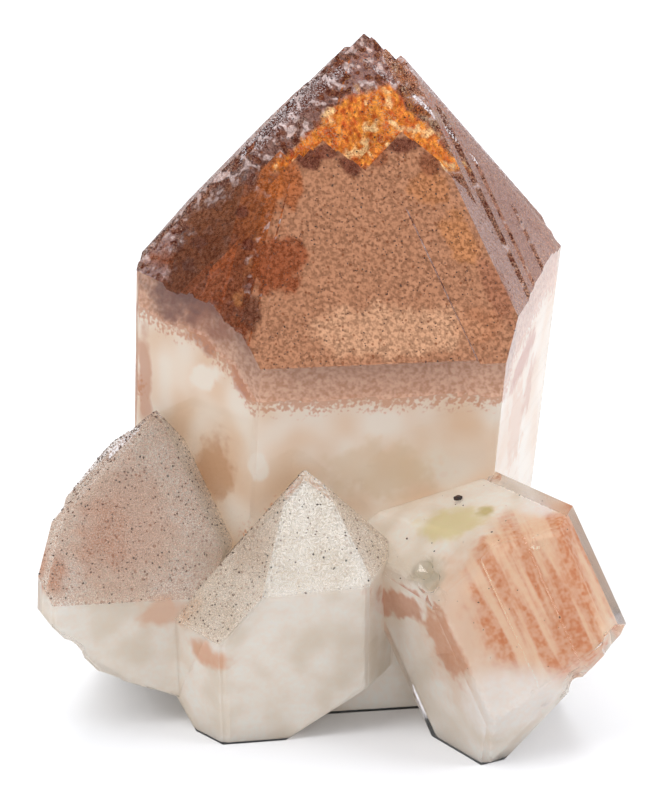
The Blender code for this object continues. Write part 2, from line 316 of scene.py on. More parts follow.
# %% Planes of a crystal, moved in
def crystal_planes(frame, sides, shoulder, lean, heights, skin):
    """Point and direction of each side and cap plane, moved in by the skin."""
    planes = []
    for face, distance in enumerate(sides):
        tilt = math.radians(lean)
        direction = side_direction(face) * math.cos(tilt)
        direction.z = -math.sin(tilt)
        point = side_direction(face) * (distance - skin)
        point.z = shoulder
        planes.append((frame @ (point * MM), frame.to_3x3() @ direction))
    for face, height in enumerate(heights):
        direction = cap_direction(face)
        point = Vector((0.0, 0.0, height)) - direction * skin
        planes.append((frame @ (point * MM), frame.to_3x3() @ direction))
    return planes


def group_plane(point, direction, skin):
    """A plane given in the group's own millimetres, moved in by the skin."""
    way = Vector(direction).normalized()
    return (Vector(point) + GROUP_SHIFT - way * skin) * MM, way


def cut_block(name, middle, size, planes):
    """A cube cut by each plane in turn."""
    bpy.ops.object.select_all(action="DESELECT")
    bpy.ops.mesh.primitive_cube_add(size=size * MM, location=middle)
    item = bpy.context.object
    item.name = name
    start_editing(item)
    for point, direction in planes:
        cut_off(point, direction)
    stop_editing()
    pick(item)
    bpy.ops.object.transform_apply(location=True, rotation=True, scale=True)
    return item


# %% Planes of each heart
HEART_SKIN = 0.7
CENTRE_SKIN = 0.9
UNDER_SKIN = 0.1
BLOCK = 90.0
ground_plane = (Vector((0.0, 0.0, -BASE_SPARE * MM)), Vector((0.0, 0.0, -1.0)))

left_planes = crystal_planes(
    LEFT, (10.8, 9.5, 6.2, 10.8, 8.4, 17.0), 16.0, 1.0,
    (29.7, 32.1, 35.5, 39.9, 34.4, 41.0), HEART_SKIN)
left_planes += [
    group_plane((-31.8, -21.9, 14.7), (-0.75, -0.15, -0.65), UNDER_SKIN),
    group_plane((-21.8, -18.4, 5.5), (-0.35, -0.20, -0.90), UNDER_SKIN),
    ground_plane]
centre_planes = crystal_planes(
    CENTRE, (8.8, 11.3, 10.2, 9.5, 11.3, 12.4), 18.6, 1.0,
    (29.8, 33.7, 32.0, 32.6, 26.9, 28.8), CENTRE_SKIN)
centre_planes += [
    group_plane((0.0, -21.0, 3.5), (0.55, -0.25, -0.80), UNDER_SKIN),
    group_plane((-17.0, -14.0, 3.0), (-0.80, 0.10, -0.60), UNDER_SKIN),
    ground_plane]
right_planes = crystal_planes(
    RIGHT, (10.0, 12.6, 5.8, 11.3, 12.8, 11.3), 0.0, 0.0, (), HEART_SKIN)
right_planes += [
    group_plane((21.0, -22.9, 25.4), (-0.22, -0.10, 0.97), HEART_SKIN),
    group_plane((9.7, -22.1, 19.2), (-0.52, -0.42, 0.74), HEART_SKIN),
    group_plane((32.2, -27.1, 15.2), (0.72, -0.25, -0.62), 1.2),
    group_plane((21.6, -29.3, 8.6), (0.45, -0.80, -0.38), 0.8),
    ground_plane]
lump_planes = [
    group_plane((6.0, -12.6, 2.0), (0.15, -0.97, 0.18), HEART_SKIN),
    group_plane((6.0, -11.5, 8.0), (-0.10, -0.70, 0.70), HEART_SKIN),
    group_plane((6.0, -7.0, 11.0), (0.20, -0.20, 0.96), HEART_SKIN),
    group_plane((14.0, -7.0, 5.0), (1.0, 0.0, 0.0), HEART_SKIN),
    group_plane((-2.0, -7.0, 5.0), (-1.0, 0.0, 0.0), HEART_SKIN),
    group_plane((6.0, 0.5, 5.0), (0.0, 1.0, 0.0), HEART_SKIN),
    ground_plane]
print("planes:", [len(planes) for planes in (left_planes, centre_planes, right_planes, lump_planes)])

# %% Hearts cut and joined
HEART_VOXEL = 0.45
LUMP_MIDDLE = (0.006, -0.006, 0.01)

hearts = cut_block("milky_hearts", LEFT @ Vector((0, 0, 0)), BLOCK, left_planes)
others = [
    cut_block("centre_heart", CENTRE @ Vector((0, 0, 0)), BLOCK, centre_planes),
    cut_block("right_heart", RIGHT @ Vector((0, 0, 0)), BLOCK, right_planes),
    cut_block("lump_heart", LUMP_MIDDLE, BLOCK, lump_planes)]
pick(hearts)
for other in others:
    other.select_set(True)
bpy.ops.object.join()
apply_modifier(hearts, "REMESH", mode="VOXEL", voxel_size=HEART_VOXEL * MM)
trim_foot(hearts)
describe(hearts)

# %% [markdown]
# ## Chips in the hearts
#
# The chips and scoops of the breaks cut into the milky part too. A slightly shrunken copy of the
# clear shape bounds the hearts, so that the milk ends a hair under each chip.

# %% Hearts bounded by the clear shape
INNER_GAP = 0.05
bound = copy_mesh(clear, "heart_bound")
start_editing(bound)
bpy.ops.transform.shrink_fatten(value=-INNER_GAP * MM)
stop_editing()
apply_modifier(hearts, "BOOLEAN", operation="INTERSECT", solver="EXACT", object=bound)
bpy.data.objects.remove(bound, do_unlink=True)
describe(hearts)

# %% [markdown]
# ## Colours
#
# Colours are written as they look on a screen and turned into the linear values that shaders
# use. Two creams are the ground of the phantom's milky sides, and the first warms the hearts too.

# %% Palette
def tone(red, green, blue):
    """A screen colour, 0 to 255, as linear values."""
    values = []
    for part in (red, green, blue):
        share = part / 255.0
        values.append(share / 12.92 if share <= 0.04045 else ((share + 0.055) / 1.055) ** 2.4)
    return (*values, 1.0)


CREAM = tone(236, 207, 178)
WHITE_MILK = tone(247, 236, 222)
print("cream is", [round(value, 3) for value in CREAM])

# %% [markdown]
# ## Building blocks for the materials
#
# A few small functions make node trees readable. `Tree` adds nodes by kind and wires values to
# their sockets, and node groups made with it hold the effects that several materials share.

# %% Node tree helpers
class Tree:
    """Adds nodes to one node tree; a value may be a number, a colour or another node's output."""

    def __init__(self, nodes_of):
        self.nodes = nodes_of.nodes
        self.links = nodes_of.links

    def set(self, socket, value):
        if isinstance(value, bpy.types.NodeSocket):
            self.links.new(value, socket)
        elif value is not None:
            socket.default_value = value

    def add(self, kind, inputs=(), **settings):
        made = self.nodes.new("ShaderNode" + kind)
        for name, value in settings.items():
            setattr(made, name, value)
        for name, value in dict(inputs).items():
            self.set(made.inputs[name], value)
        return made

    def math(self, operation, first, second=None, third=None):
        made = self.add("Math", operation=operation)
        for place, value in enumerate((first, second, third)):
            self.set(made.inputs[place], value)
        return made.outputs[0]

    def vector(self, operation, first, second=None):
        made = self.add("VectorMath", operation=operation)
        self.set(made.inputs[0], first)
        self.set(made.inputs[1], second)
        return made.outputs["Value" if operation in ("DOT_PRODUCT", "LENGTH") else "Vector"]

    def scaled(self, value, factor):
        """A colour or place times one number."""
        made = self.add("VectorMath", operation="SCALE")
        self.set(made.inputs[0], value)
        self.set(made.inputs["Scale"], factor)
        return made.outputs["Vector"]

    def fade(self, value, low, high, to_low=0.0, to_high=1.0):
        """A soft step from one value to another."""
        made = self.add("MapRange", interpolation_type="SMOOTHSTEP")
        for name, item in (("Value", value), ("From Min", low), ("From Max", high),
                           ("To Min", to_low), ("To Max", to_high)):
            self.set(made.inputs[name], item)
        return made.outputs["Result"]

    def mix(self, mask, first, second):
        made = self.add("Mix", data_type="RGBA")
        self.set(made.inputs["Factor"], mask)
        self.set(made.inputs[6], first)
        self.set(made.inputs[7], second)
        return made.outputs[2]

    def noise(self, place, scale, detail=3.0, rough=0.5):
        made = self.add("TexNoise", {"Vector": place, "Scale": scale, "Detail": detail,
                                     "Roughness": rough})
        return made.outputs["Fac"]


def new_group(name, inputs, outputs):
    """An empty node group with named sockets, and the tree to fill it with."""
    made = bpy.data.node_groups.new(name, "ShaderNodeTree")
    for label, kind, value in inputs:
        socket = made.interface.new_socket(label, in_out="INPUT", socket_type="NodeSocket" + kind)
        if value is not None:
            socket.default_value = value
    for label, kind in outputs:
        made.interface.new_socket(label, in_out="OUTPUT", socket_type="NodeSocket" + kind)
    tree = Tree(made)
    start = tree.nodes.new("NodeGroupInput")
    end = tree.nodes.new("NodeGroupOutput")
    return made, tree, start.outputs, end.inputs


def use_group(tree, made, inputs):
    placed = tree.nodes.new("ShaderNodeGroup")
    placed.node_tree = made
    for name, value in inputs.items():
        tree.set(placed.inputs[name], value)
    return placed.outputs


def new_material(name):
    material = bpy.data.materials.new(name)
    material.use_nodes = True
    tree = Tree(material.node_tree)
    shader = material.node_tree.nodes["Principled BSDF"]
    place = tree.add("TexCoord").outputs["Object"]
    return material, tree, shader, place


# %% [markdown]
# ## Shared effects
#
# `Patch` marks a soft, ragged blob around a point in the stone or on its front; every stain is
# such a blob. `Specks` scatters small dots, one to a cell of a Voronoi pattern, and only some
# cells show theirs. `Mottle` gives an uneven field from 0 to 1 at a chosen grain; a low softness
# gives its spots hard edges.

# %% Node groups
patch_group, tree, given, result = new_group(
    "patch",
    (("Place", "Vector", None), ("Middle", "Vector", None), ("Reach", "Vector", (1, 1, 1)),
     ("Uneven", "Float", 0.0), ("Ragged", "Float", 0.3), ("Soft", "Float", 0.5)),
    (("Mask", "Float"),))
offset = tree.vector("SUBTRACT", given["Place"], given["Middle"])
scaled = tree.vector("DIVIDE", offset, given["Reach"])
length = tree.vector("LENGTH", scaled)
length = tree.math("MULTIPLY_ADD", given["Uneven"], given["Ragged"], length)
inner = tree.math("SUBTRACT", 1.0, given["Soft"])
mask = tree.fade(length, inner, 1.0, 1.0, 0.0)
tree.set(result["Mask"], mask)

specks_group, tree, given, result = new_group(
    "specks",
    (("Place", "Vector", None), ("Grain", "Float", 2500.0), ("Share", "Float", 0.3),
     ("Size", "Float", 0.35)),
    (("Mask", "Float"),))
cells = tree.add("TexVoronoi", {"Vector": given["Place"], "Scale": given["Grain"]})
chance = tree.add("SeparateColor", {"Color": cells.outputs["Color"]})
shown = tree.math("LESS_THAN", chance.outputs["Red"], given["Share"])
reach = tree.math("MULTIPLY", given["Size"], tree.math("ADD", chance.outputs["Green"], 0.35))
near = tree.fade(cells.outputs["Distance"], tree.math("MULTIPLY", reach, 0.6), reach, 1.0, 0.0)
tree.set(result["Mask"], tree.math("MULTIPLY", shown, near))

mottle_group, tree, given, result = new_group(
    "mottle",
    (("Place", "Vector", None), ("Grain", "Float", 300.0), ("Softness", "Float", 0.5)),
    (("Mask", "Float"),))
field = tree.noise(given["Place"], given["Grain"], 1.0, 0.6)
half = tree.math("MULTIPLY", tree.math("SUBTRACT", 1.0, given["Softness"]), 0.25)
mask = tree.fade(field, tree.math("ADD", 0.25, half), tree.math("SUBTRACT", 0.75, half))
tree.set(result["Mask"], mask)
print("node groups:", [made.name for made in bpy.data.node_groups])

# %% [markdown]
# ## Clear quartz
#
# Glassy and see-through, by transmission alone. A faint lilac-grey absorption gives the thick
# parts their tint. The gloss changes along the fine level lines of growth that cross the sides.

# %% Clear quartz material
QUARTZ_IOR = 1.544
LEVEL_LINES = (60.0, 60.0, 1400.0)
SMOOTHEST, ROUGHEST = 0.03, 0.2
DEPTH_TINT = (0.84, 0.79, 0.80, 1.0)
DEPTH_DENSITY = 65.0

quartz_clear, tree, shader, place = new_material("clear quartz")
shader.inputs["Base Color"].default_value = (1.0, 1.0, 1.0, 1.0)
shader.inputs["Metallic"].default_value = 0.0
shader.inputs["IOR"].default_value = QUARTZ_IOR
shader.inputs["Transmission Weight"].default_value = 1.0
lines = tree.add("Mapping", {"Vector": place, "Scale": LEVEL_LINES})
rough = tree.fade(tree.noise(lines.outputs["Vector"], 1.0, 0.0), 0.3, 0.8, SMOOTHEST, ROUGHEST)
tree.set(shader.inputs["Roughness"], rough)
depth = tree.add("VolumeAbsorption", {"Color": DEPTH_TINT, "Density": DEPTH_DENSITY})
tree.links.new(depth.outputs["Volume"], tree.nodes["Material Output"].inputs["Volume"])
clear.data.materials.append(quartz_clear)

# %% [markdown]
# ## Stains inside the stone
#
# The phantom and the hearts carry the colours that show from within. A list of patches is laid
# over a milky ground, one after the other: each has its middle and reach in millimetres, its
# colour, how strong it is and how ragged its edge. Where a patch is one on the front, its middle
# is how far across and how far up it lies, and it may be turned by some degrees.

# %% Patches of colour
# The front as the camera sees it: up is mostly Z, with a little of Y for the way it looks down.
FRONT_ACROSS = (1.0, 0.0, 0.0)
FRONT_UP = (0.0, 0.342, 0.940)


def front_place(tree, place):
    """Across and up on the front, from a place on the stone."""
    across = tree.vector("DOT_PRODUCT", place, FRONT_ACROSS)
    up = tree.vector("DOT_PRODUCT", place, FRONT_UP)
    flat = tree.add("CombineXYZ", {"X": across, "Y": up}).outputs["Vector"]
    return flat, across, up


def lay_front_patches(tree, flat, uneven, colour, patches):
    """Patches by across and up; each may be turned, so its own two directions are measured."""
    covered = 0.0
    for middle, reach, turn, tint, strength, ragged in patches:
        cosine, sine = math.cos(math.radians(turn)), math.sin(math.radians(turn))
        centre = Vector((middle[0], middle[1], 0.0)) * MM
        wide, high = Vector((cosine, sine, 0.0)), Vector((-sine, cosine, 0.0))
        turned = flat if turn == 0 else tree.add("CombineXYZ", {
            "X": tree.vector("DOT_PRODUCT", flat, wide),
            "Y": tree.vector("DOT_PRODUCT", flat, high)}).outputs["Vector"]
        mask = use_group(tree, patch_group, {
            "Place": turned, "Middle": (centre.dot(wide), centre.dot(high), 0.0),
            "Reach": (reach[0] * MM, reach[1] * MM, 1.0),
            "Uneven": uneven, "Ragged": ragged, "Soft": 0.45})["Mask"]
        mask = tree.math("MULTIPLY", mask, strength)
        colour = tree.mix(mask, colour, tint)
        covered = tree.math("MAXIMUM", mask, covered)
    return colour, covered


def uneven_edge(tree, place):
    """One uneven field for all patches of a material; it makes their edges ragged."""
    return tree.math("SUBTRACT", tree.noise(place, 420.0, 2.0, 0.6), 0.5)


def lay_patches(tree, place, uneven, colour, patches):
    """Patches around points inside the stone."""
    for middle, reach, tint, strength, ragged in patches:
        mask = use_group(tree, patch_group, {
            "Place": place, "Middle": [v * MM for v in middle], "Reach": [v * MM for v in reach],
            "Uneven": uneven, "Ragged": ragged, "Soft": 0.6})["Mask"]
        colour = tree.mix(tree.math("MULTIPLY", mask, strength), colour, tint)
    return colour


# %% [markdown]
# ## The dusted phantom
#
# The phantom's cap is dusted with iron oxide: orange and fibrous near the tip, rusty on the left
# flank and pink-tan in front. Its sides are milky cream. One material does both, by how near each
# point is to the cap, so that the rust gathers in a line along the shoulder and fades below it.

# %% How near each point is to the cap
CAP_REACH = 8.0


def mark(item, name, values):
    layer = item.data.attributes.new(name, "FLOAT", "POINT")
    layer.data.foreach_set("value", np.asarray(values, np.float32))


def shoulder_distance(item, frame, reach):
    """For each point, how near it is to the cap: 1 on the cap, fading to 0 below the shoulder."""
    up = (frame.to_3x3() @ Vector((0, 0, 1))).normalized()
    mesh = item.data
    cap = [mesh.vertices[i].co for face in mesh.polygons if face.normal.dot(up) > 0.25
           for i in face.vertices]
    tree_of_cap = kdtree.KDTree(len(cap))
    for number, point in enumerate(cap):
        tree_of_cap.insert(point, number)
    tree_of_cap.balance()
    return [max(0.0, 1.0 - tree_of_cap.find(point.co)[2] / (reach * MM)) for point in mesh.vertices]


nearness = shoulder_distance(phantom, MAIN, CAP_REACH)
mark(phantom, "near_cap", nearness)
print("points on the cap:", sum(value > 0.9999 for value in nearness), "of", len(nearness))

# %% Milky sides of the phantom
# Milky quartz passes light along inside itself, which shows as a faint glow in its shaded parts; here
# that light is painted as an emission of the milky colour.
PAINTED_GLOW = 0.12
ALONG_GROWTH = (1.0, 1.0, 0.35)
BACK_EDGE = (0.010, 0.014)

phantom_dust, tree, shader, place = new_material("phantom dust")
near_cap = tree.add("Attribute", attribute_name="near_cap").outputs["Fac"]
cloud = use_group(tree, mottle_group, {"Place": place, "Grain": 160.0, "Softness": 0.95})["Mask"]
fine = use_group(tree, mottle_group, {"Place": place, "Grain": 1800.0, "Softness": 0.9})["Mask"]
streaked = tree.add("Mapping", {"Vector": place, "Scale": ALONG_GROWTH}).outputs["Vector"]
fibres = use_group(tree, mottle_group, {"Place": streaked, "Grain": 1300.0, "Softness": 0.9})["Mask"]
milk = tree.mix(cloud, CREAM, WHITE_MILK)
uneven = uneven_edge(tree, place)
flat, across, up = front_place(tree, place)
stained, _ = lay_front_patches(tree, flat, uneven, milk, (
    ((-18.5, 42.4), (3.8, 1.8), -15, tone(196, 124, 74), 0.8, 1.4),
    ((-13.3, 39.0), (3.8, 2.2), -30, tone(178, 100, 50), 0.85, 1.4),
    ((-9.9, 34.9), (1.3, 3.8), 20, tone(188, 98, 40), 0.85, 1.2),
    ((-13.1, 24.0), (2.7, 4.9), 0, tone(204, 154, 108), 0.7, 1.2),
    ((-21.2, 34.5), (1.0, 7.1), 0, tone(206, 146, 108), 0.7, 1.2),
    ((-14.1, 34.4), (2.2, 1.7), 0, WHITE_MILK, 1.0, 1.2),
    ((-8.2, 24.4), (1.3, 1.8), 0, WHITE_MILK, 1.0, 1.0),
    ((5.4, 24.0), (7.8, 3.8), 0, tone(228, 204, 172), 0.6, 1.2),
    ((21.7, 36.4), (0.7, 5.1), -24, tone(196, 112, 56), 0.85, 1.6),
    ((20.9, 29.0), (1.3, 5.8), -6, tone(226, 182, 144), 0.8, 1.8),
    ((22.7, 34.0), (0.6, 4.4), -10, tone(206, 140, 92), 0.7, 1.8)))
# The back has no such stains; there the plain milk stays.
behind = tree.fade(tree.vector("DOT_PRODUCT", place, (0.0, 1.0, 0.0)), *BACK_EDGE)
milk = tree.mix(behind, stained, milk)

# %% Dusted cap of the phantom
TIP_MIDDLE = (0.0035, 0.013, 0.064)
TIP_REACH = (0.016, 0.02, 0.0105)

ragged = tree.math("MULTIPLY_ADD", tree.math("SUBTRACT", fine, 0.5), 0.25, near_cap)
cap_colour = tree.mix(fine, tone(214, 150, 110), tone(246, 200, 168))
cap_colour = lay_patches(tree, place, uneven, cap_colour, (
    ((-12.0, -2.0, 50.0), (10.0, 12.0, 10.0), tone(176, 92, 40), 0.9, 0.9),
    ((-15.0, 2.0, 46.0), (7.0, 8.0, 5.0), tone(120, 52, 22), 0.7, 1.2)))
tip = use_group(tree, patch_group, {
    "Place": place, "Middle": TIP_MIDDLE, "Reach": TIP_REACH,
    "Uneven": uneven, "Ragged": 0.8, "Soft": 0.4})["Mask"]
orange = tree.mix(fibres, tone(226, 106, 18), tone(255, 178, 84))
pale = use_group(tree, mottle_group, {"Place": streaked, "Grain": 380.0, "Softness": 0.9})["Mask"]
orange = tree.mix(tree.fade(pale, 0.72, 0.95), orange, tone(252, 222, 180))
cap_colour = tree.mix(tip, cap_colour, orange)

# %% Rust line under the shoulder, and the whole phantom
below = tree.fade(near_cap, 0.9999, 0.99, 0.0, 1.0)
line = tree.math("MULTIPLY", tree.fade(ragged, 0.80, 0.97), below)
side = tree.mix(tree.math("MULTIPLY", line, 0.75), milk, tone(206, 136, 88))
colour = tree.mix(tree.fade(near_cap, 0.985, 0.999), side, cap_colour)
tree.set(shader.inputs["Base Color"], colour)
# Painted glow: the phantom emits its own colour, standing in for light carried inside the milky quartz.
tree.set(shader.inputs["Emission Color"], colour)
shader.inputs["Emission Strength"].default_value = PAINTED_GLOW
shader.inputs["Roughness"].default_value = 0.6
phantom.data.materials.append(phantom_dust)

# %% [markdown]
# ## Milky quartz
#
# The hearts are white with cream clouds, warmer where iron got in: the left one has a pink
# stain, the front one is nearly white, and the right one has orange stripes that run along it.

# %% Clouds and stripes of the milky quartz
STRIPED_MIDDLE = (0.024, -0.022, 0.019)
STRIPED_REACH = (0.0105, 0.013, 0.0115)

milky, tree, shader, place = new_material("milky quartz")
cloud = use_group(tree, mottle_group, {"Place": place, "Grain": 220.0, "Softness": 0.95})["Mask"]
fine = use_group(tree, mottle_group, {"Place": place, "Grain": 1500.0, "Softness": 0.9})["Mask"]
ground = tree.mix(cloud, tone(232, 220, 203), tone(251, 245, 236))
uneven = uneven_edge(tree, place)
flat, across, up = front_place(tree, place)
# The stripes are short across the right crystal and ten times as long along it.
beside = tree.vector("DOT_PRODUCT", flat, (0.907, 0.423, 0.0))
along = tree.vector("DOT_PRODUCT", flat, (0.042, -0.091, 0.0))
stripe_place = tree.add("CombineXYZ", {"X": beside, "Y": along}).outputs["Vector"]
stripes = tree.fade(tree.noise(stripe_place, 560.0, 3.0, 0.5), 0.42, 0.60)
rusty = tree.mix(stripes, tone(216, 132, 78), tone(242, 204, 170))
rusty = tree.mix(tree.math("MULTIPLY", fine, 0.35), rusty, tone(250, 224, 196))
right_side = use_group(tree, patch_group, {
    "Place": place, "Middle": STRIPED_MIDDLE, "Reach": STRIPED_REACH,
    "Uneven": uneven, "Ragged": 0.5, "Soft": 0.35})["Mask"]

# %% Stains of the milky quartz
colour = lay_patches(tree, place, uneven, ground, (
    ((-23.5, -12.6, 23.5), (7.5, 9.0, 10.0), tone(228, 196, 176), 0.85, 0.9),
    ((-25.5, -12.5, 21.5), (4.0, 6.0, 7.0), tone(212, 150, 116), 0.75, 1.4),
    ((-31.4, -17.0, 19.5), (2.4, 4.0, 3.0), tone(205, 120, 60), 0.8, 1.0),
    ((-18.5, -16.6, 14.6), (4.5, 4.0, 2.6), tone(224, 168, 126), 0.7, 1.2),
    ((-8.6, -15.8, 21.5), (4.0, 4.0, 4.5), tone(190, 160, 135), 0.6, 1.3),
    ((-14.0, -19.6, 10.6), (3.6, 3.4, 2.2), tone(224, 156, 106), 0.8, 1.2),
    ((17.0, -22.0, 16.0), (8.5, 8.0, 12.0), tone(234, 200, 172), 0.9, 0.7)))
colour = tree.mix(right_side, colour, rusty)
colour = lay_patches(tree, place, uneven, colour, (
    ((10.5, -19.5, 20.0), (3.2, 4.0, 2.2), tone(202, 190, 168), 0.9, 1.2),
    ((21.0, -26.5, 7.5), (9.0, 5.0, 5.5), tone(248, 242, 236), 0.9, 0.8),
    ((13.6, -13.8, 23.6), (6.0, 4.5, 2.2), tone(222, 208, 138), 0.7, 1.0),
    ((17.4, -12.9, 25.0), (1.6, 1.8, 1.4), tone(190, 172, 66), 0.8, 0.9),
    ((24.0, -13.5, 26.0), (4.0, 5.0, 2.2), tone(250, 246, 242), 0.9, 0.8)))
colour, _ = lay_front_patches(tree, flat, uneven, colour, (
    ((8.0, 9.2), (4.6, 1.7), -12, tone(198, 122, 74), 0.75, 1.4),
    ((13.2, 4.6), (1.2, 5.6), 25, tone(206, 134, 90), 0.75, 1.4)))
colour = tree.mix(tree.math("MULTIPLY", fine, 0.18), colour, CREAM)
tree.set(shader.inputs["Base Color"], colour)
# Painted glow: the hearts emit their own colour, standing in for light carried inside the milky quartz.
tree.set(shader.inputs["Emission Color"], colour)
shader.inputs["Emission Strength"].default_value = PAINTED_GLOW
shader.inputs["Roughness"].default_value = 0.6
hearts.data.materials.append(milky)

# %% [markdown]
# ## The dust on the upward faces
#
# Iron-oxide dust settled on every face that looked up. It is a film a few hundredths of a
# millimetre thick on the clear quartz, so it is made as a closed sheet: the upward faces of the
# clear shape, lifted off by a hair and given a thickness. The small risers between the growth
# steps keep their dust too. The right crystal is clean and glassy, so it gets no film.

# %% Dust film shape
FILM_LIFT = 0.03
FILM_THICKNESS = 0.03
UPWARD = 0.25
SMALL_FACET = 8.0
CAP_FOOT = 46.0
CLEAN_CRYSTAL = (8.0, -2.0, 36.5)
DOWNWARD = -0.4

film = copy_mesh(clear, "dust_film")
start_editing(film)
bpy.ops.mesh.select_all(action="DESELECT")
bpy.ops.mesh.select_mode(type="FACE")
stop_editing()
for face in film.data.polygons:
    small_riser = face.area < SMALL_FACET * MM * MM and face.normal.z > DOWNWARD
    x, y, z = face.center / MM
    clean = x > CLEAN_CRYSTAL[0] and y < CLEAN_CRYSTAL[1] and z < CLEAN_CRYSTAL[2]
    face.select = clean or (face.normal.z < UPWARD and not small_riser)
bpy.ops.object.mode_set(mode="EDIT")
bpy.ops.mesh.delete(type="FACE")
bpy.ops.mesh.select_all(action="SELECT")
bpy.ops.transform.shrink_fatten(value=FILM_LIFT * MM)
stop_editing()
apply_modifier(film, "SOLIDIFY", thickness=FILM_THICKNESS * MM, offset=1.0)
describe(film)

# %% [markdown]
# ## Every facet's own dust
#
# Every facet caught its own share of dust, so each one gets its own tint and cover by where it
# lies. The two rules of quartz help again: a facet's direction tells which cap it belongs to, and
# where its plane meets the axis tells on which growth step it lies.

# %% Which face a facet belongs to
SAME_WAY = 0.9985


def cap_number(normal, frame):
    """Which of the six cap directions a face has, if any."""
    for number in range(6):
        if normal.dot(frame.to_3x3() @ cap_direction(number)) > SAME_WAY:
            return number
    return None


def axis_height(point, number, frame):
    """Where the plane of a cap face meets the crystal's long axis, in millimetres."""
    inside = frame.inverted() @ point / MM
    way = cap_direction(number)
    return inside.dot(way) / way.z


def between(chance, first, second):
    """A colour by chance between two others."""
    share = chance.random()
    return [a + (b - a) * share for a, b in zip(first, second)]


# %% Tint and cover of a facet
TIP_FOOT = 36.5
FRONT_STEP = 63.55
FLANK_STEP = 62.0
LEFT_STEP = 72.3
FLANK_TONES = (tone(84, 32, 18), tone(136, 64, 30), tone(168, 90, 44), tone(196, 128, 84))


def large_crystal_dust(point, normal, chance):
    """The large crystal: its front face, left flank, grey-lilac rim and right side."""
    inside = MAIN.inverted() @ point / MM
    number = cap_number(normal, MAIN)
    height = axis_height(point, number, MAIN) if number is not None else 0.0
    if number == 0 and height > FRONT_STEP:
        return tone(157, 108, 80), 0.97
    if number == 0 and height > FLANK_STEP and inside.x < 0.0:
        return chance.choice(FLANK_TONES), chance.uniform(0.85, 0.97)
    if number == 0 and inside.x < -3.0:
        return between(chance, tone(104, 70, 64), tone(136, 110, 110)), chance.uniform(0.85, 0.95)
    if number == 0 and inside.x > 6.0:
        return between(chance, tone(150, 108, 94), tone(124, 78, 60)), chance.uniform(0.6, 0.85)
    if number == 0:
        return tone(122, 92, 90), 0.92
    if number == 5 and height > LEFT_STEP:
        return between(chance, tone(136, 112, 112), tone(92, 58, 52)), chance.uniform(0.8, 0.93)
    if number == 5:
        return chance.choice(FLANK_TONES), chance.uniform(0.8, 0.97)
    if number == 1 and inside.x > 8.0:
        return between(chance, tone(178, 156, 153), tone(160, 130, 125)), chance.uniform(0.6, 0.8)
    if number == 1:
        return between(chance, tone(90, 38, 24), tone(166, 106, 80)), chance.uniform(0.6, 0.9)
    return between(chance, tone(186, 160, 152), tone(160, 120, 104)), chance.uniform(0.4, 0.7)


def facet_dust(point, normal, chance):
    """Tint and cover of one facet, by the crystal that it belongs to and the way it faces."""
    x, y, z = point / MM
    if z > TIP_FOOT or y > -2.0:
        return large_crystal_dust(point, normal, chance)
    if cap_number(normal, CENTRE) is not None and x < 8.0:
        number = cap_number(normal, CENTRE)
        # The centre crystal's front cap gets a thin, nearly white film: partly its milky quartz, partly a
        # painted reflection of the soft light on that face.
        return (tone(252, 249, 242), 0.25) if number == 0 else (tone(208, 190, 172), 0.4)
    if x < -9.0:
        on_front = cap_number(normal, LEFT) == 0
        return (tone(190, 162, 146), 0.5) if on_front else (tone(210, 186, 170), 0.25)
    if normal.z < 0.5:
        return tone(236, 200, 172), 0.06
    return tone(226, 214, 196), 0.12 if normal.z < 0.9 else 0.05


# %% Attributes of the film
# Painted light and shade: these factors make each small facet at the tip darker or lighter at random,
# standing in for the different light that falls on each facet.
PAINTED_FACET_SHADES = (0.5, 0.8, 1.0, 1.3)


def paint_film(item):
    """Write tint, cover, thinness at the tip and painted shade of each facet into the mesh."""
    mesh = item.data
    chance = random.Random(5)
    tints, covers, thins, painted_shades = [], [], [], []
    for face in mesh.polygons:
        normal = face.normal if face.normal.z > 0.0 else -face.normal
        colour, share = facet_dust(face.center, normal, chance)
        tints.append((*colour[:3], 1.0))
        # The sheet has two surfaces, and together they cover the wanted share.
        covers.append(1.0 - math.sqrt(1.0 - share))
        height = axis_height(face.center, 0, MAIN)
        on_front_face = cap_number(normal, MAIN) == 0 and height > FRONT_STEP
        smooth_right = cap_number(normal, MAIN) in (1, 2) and face.area > SMALL_FACET * MM * MM
        on_tip = not on_front_face and not smooth_right and face.center.z > CAP_FOOT * MM
        thins.append(1.0 if on_tip else 0.0)
        # Facets at the tip draw a painted shade factor; all others keep 1.
        painted_shades.append(chance.choice(PAINTED_FACET_SHADES) if on_tip else 1.0)
    # A new attribute moves the others, so all are made first and then filled by name.
    numbers = {"cover": covers, "thin": thins, "painted_shade": painted_shades}
    mesh.attributes.new("tint", "FLOAT_COLOR", "FACE")
    for name in numbers:
        mesh.attributes.new(name, "FLOAT", "FACE")
    mesh.attributes["tint"].data.foreach_set("color", np.array(tints, np.float32).ravel())
    for name, values in numbers.items():
        mesh.attributes[name].data.foreach_set("value", np.array(values, np.float32))
    print("facets at the tip:", int(sum(thins)), "of", len(thins))


paint_film(film)

# %% [markdown]
# ## What the dust looks like
#
# Close up, the dust is a fine stipple of brown and pale points with darker ones between. The
# front face has redder and ochre places and dark maroon along its two peaks. These places are
# laid on by two numbers, how far across and how far up the front, both in millimetres. In the
# window around the tip there is only a thin orange film, so the orange phantom shows through.
# Between the points of dust the film is open, more so where it is thin.

